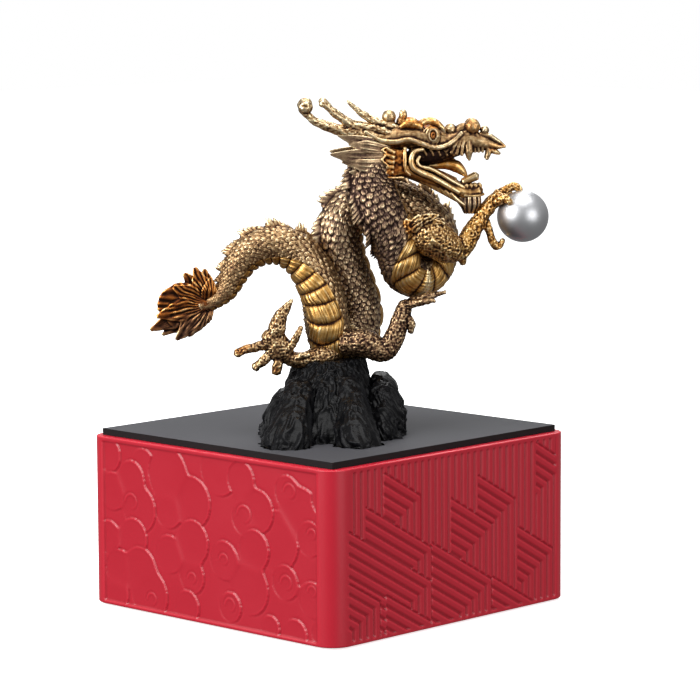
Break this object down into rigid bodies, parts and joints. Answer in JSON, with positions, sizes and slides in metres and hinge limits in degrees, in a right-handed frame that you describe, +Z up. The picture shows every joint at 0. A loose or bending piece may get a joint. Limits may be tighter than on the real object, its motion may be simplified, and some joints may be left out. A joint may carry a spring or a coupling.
{
  "type": "dragon statuette on a lidded case",
  "caption": "Cast bronze dragon holding out a steel pearl, on a black rock screwed to the lift-off lid of a square red relief-carved case.",
  "frame": {"origin": "centre of the case's footprint, on the surface the feet stand on", "axes": "+Z up; the case's sides run along X and Y, the cloud-carved side faces -Y and the ribbed side faces +X; the dragon looks along +X +Y"},
  "size_m": [0.16, 0.16, 0.2378],
  "materials": {
    "red_lacquer": "satin lacquer",
    "black_board": "matte",
    "flock_lining": "matte",
    "foot_rubber": "matte",
    "black_plate": "satin",
    "black_rock": "satin",
    "antique_bronze": "antique patina with rubbed highlights",
    "gilt_eye": "polished",
    "satin_steel": "satin",
    "steel_hardware": "plain"
  },
  "bodies": {
    "case": {"case_walls": "red_lacquer", "floor_panel": "black_board", "lining_tray": "flock_lining", "foot_right_back": "foot_rubber", "foot_left_back": "foot_rubber", "foot_left_front": "foot_rubber", "foot_right_front": "foot_rubber", "floor_screw_right_back": "steel_hardware", "floor_screw_left_back": "steel_hardware", "floor_screw_left_front": "steel_hardware", "floor_screw_right_front": "steel_hardware"},
    "lid": {"lid_plate": "black_plate", "lid_locating_frame": "black_board", "rock_screw_1": "steel_hardware", "rock_screw_2": "steel_hardware", "rock_screw_3": "steel_hardware", "rock_washer_1": "steel_hardware", "rock_washer_2": "steel_hardware", "rock_washer_3": "steel_hardware", "rock": "black_rock", "hind_body": "antique_bronze", "trunk": "antique_bronze", "chest": "antique_bronze", "neck": "antique_bronze", "skull": "antique_bronze", "lower_jaw": "antique_bronze", "tongue": "antique_bronze", "near_horn": "antique_bronze", "far_horn": "antique_bronze", "near_mane": "antique_bronze", "far_mane": "antique_bronze", "beard": "antique_bronze", "ball_arm": "antique_bronze", "folded_arm": "antique_bronze", "spread_leg": "antique_bronze", "raised_leg": "antique_bronze", "tail_fin": "antique_bronze", "near_eye": "gilt_eye", "far_eye": "gilt_eye", "pearl": "satin_steel", "hip_pin": "steel_hardware", "arch_pin": "steel_hardware", "neck_pin": "steel_hardware", "front_anchor": "steel_hardware", "rear_anchor": "steel_hardware", "tail_pin": "steel_hardware", "head_pin": "steel_hardware", "pearl_stud": "steel_hardware", "ball_arm_pin": "steel_hardware", "folded_arm_pin": "steel_hardware", "spread_leg_pin": "steel_hardware", "raised_leg_pin": "steel_hardware"}
  },
  "joints": [
    {"name": "lid_lift", "type": "slide", "parent": "case", "child": "lid", "axis": [0, 0, 1], "range_m": [0, 0.1]}
  ]
}
